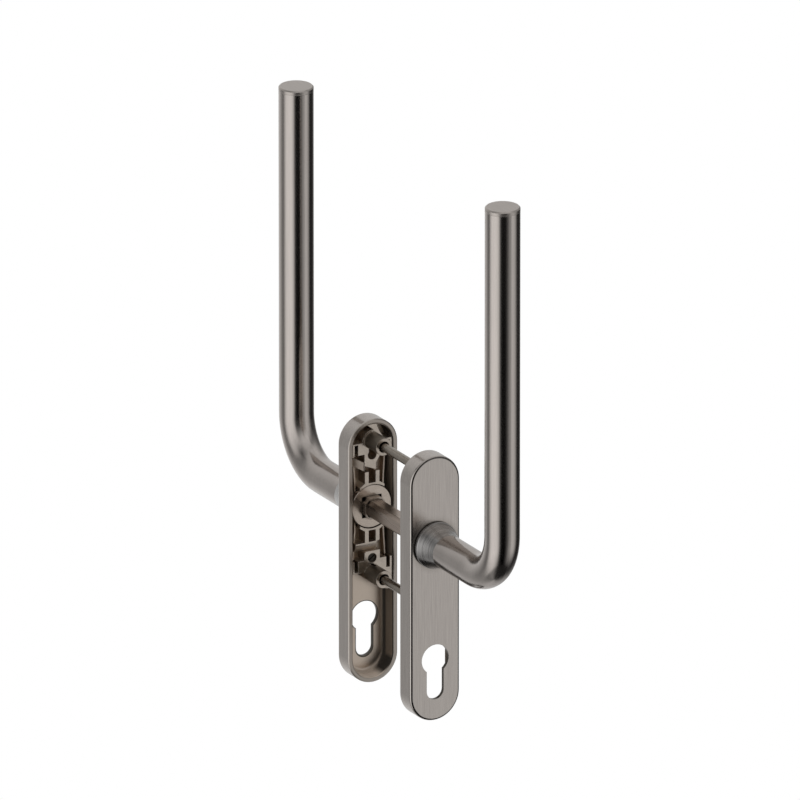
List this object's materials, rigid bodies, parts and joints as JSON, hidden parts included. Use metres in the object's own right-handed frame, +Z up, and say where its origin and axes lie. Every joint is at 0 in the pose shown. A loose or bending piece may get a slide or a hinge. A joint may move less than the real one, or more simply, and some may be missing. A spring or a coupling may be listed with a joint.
{
  "type": "lift and slide door handle",
  "caption": "Pair of long L-shaped lever bars on slim plates with cylinder openings, joined through the door by a square spindle and fixing screws.",
  "frame": {"origin": "on the spindle's axis, halfway through the door", "axes": "+X across the plates, +Y along the spindle towards the rear handle, +Z up along the raised bars"},
  "size_m": [0.032, 0.253, 0.332],
  "materials": {
    "cover_steel": "fine vertical satin brushing",
    "bar_steel": "fine satin, nearly polished",
    "neck_steel": "turned satin",
    "cast_zinc": "raw zinc die casting, fine grained",
    "disc_steel": "sintered steel, matt",
    "spindle_steel": "drawn steel, oiled",
    "screw_steel": "zinc plated",
    "bush_plastic": "black acetal",
    "washer_plastic": "natural nylon"
  },
  "bodies": {
    "plates": {"front_cover": "cover_steel", "front_base": "cast_zinc", "front_bush": "bush_plastic", "front_thrust_washer": "washer_plastic", "rear_cover": "cover_steel", "rear_base": "cast_zinc", "rear_bush": "bush_plastic", "rear_thrust_washer": "washer_plastic", "upper_fixing_screw": "screw_steel", "lower_fixing_screw": "screw_steel", "rear_cover_screw": "screw_steel"},
    "handle": {"front_lever": "bar_steel", "front_end_cap": "bar_steel", "front_neck": "neck_steel", "front_locking_disc": "disc_steel", "front_grub_screw": "screw_steel", "rear_lever": "bar_steel", "rear_end_cap": "bar_steel", "rear_neck": "neck_steel", "rear_locking_disc": "disc_steel", "rear_grub_screw": "screw_steel", "spindle": "spindle_steel"}
  },
  "joints": [
    {"name": "handle_turn", "type": "hinge", "parent": "plates", "child": "handle", "pos_m": [0, 0, 0], "axis": [0, -1, 0], "range_deg": [0, 180]}
  ]
}
